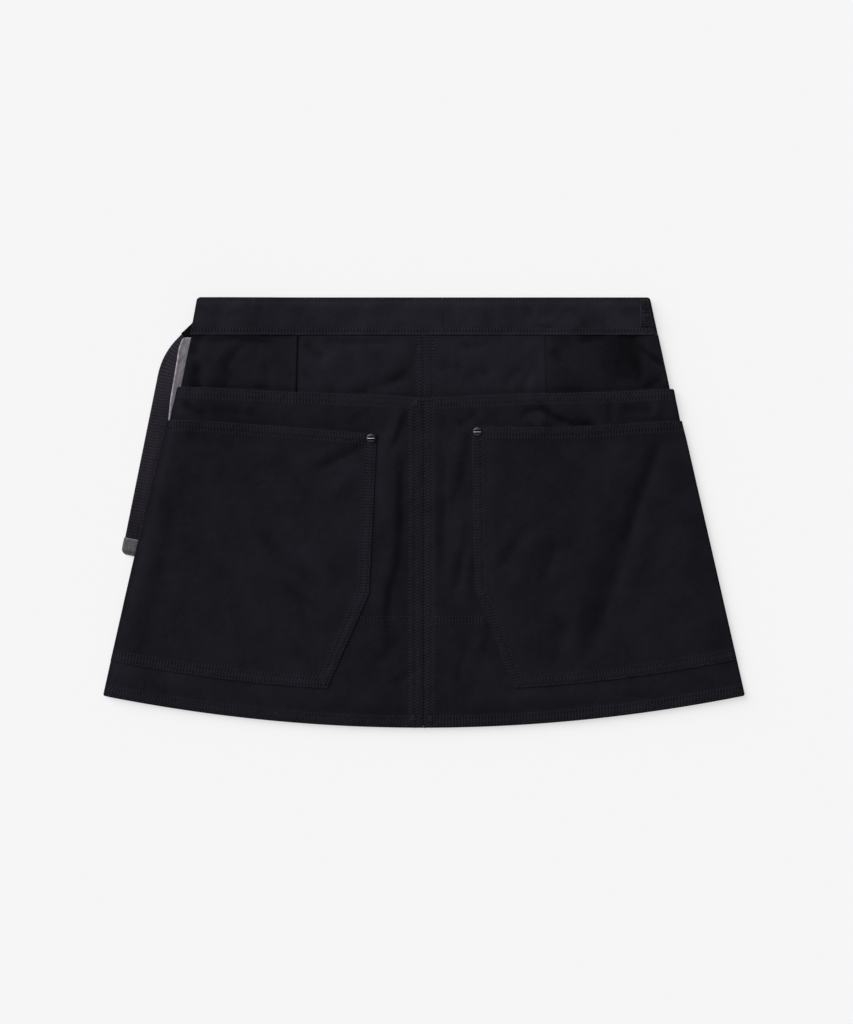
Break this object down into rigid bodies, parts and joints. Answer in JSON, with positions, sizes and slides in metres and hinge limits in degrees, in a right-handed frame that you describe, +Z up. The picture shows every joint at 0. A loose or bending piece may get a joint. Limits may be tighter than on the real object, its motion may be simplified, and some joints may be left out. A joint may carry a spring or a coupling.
{
  "type": "mini skirt",
  "caption": "Black canvas mini skirt with a layered apron front, large slanted patch pockets, rivets and a webbing strap at one side, laid out flat.",
  "frame": {"origin": "centre of the laid-out skirt's outline, on the surface it lies on", "axes": "+Z is up out of the front of the skirt, +Y is towards the waist, +X is towards the side without the strap"},
  "size_m": [0.5232, 0.3524, 0.0108],
  "materials": {
    "canvas": "black cotton canvas, matt, with black sewing",
    "webbing": "black cotton webbing with cross ribs",
    "facing": "mid-grey satin twill",
    "keeper": "deep black felted cloth",
    "leather": "grey roughened leather",
    "gunmetal": "dark gunmetal plating"
  },
  "bodies": {
    "root": {"back_panel": "canvas", "back_waistband": "canvas", "side_facing": "facing", "body_left": "canvas", "body_right": "canvas", "waistband_left": "canvas", "waistband_right": "canvas", "waist_tab": "webbing", "apron_left": "canvas", "apron_right": "canvas", "pocket_left": "canvas", "pocket_right": "canvas", "rivet_left": "gunmetal", "rivet_right": "gunmetal", "strap": "webbing", "strap_tip": "leather", "strap_keeper": "keeper"}
  },
  "joints": []
}
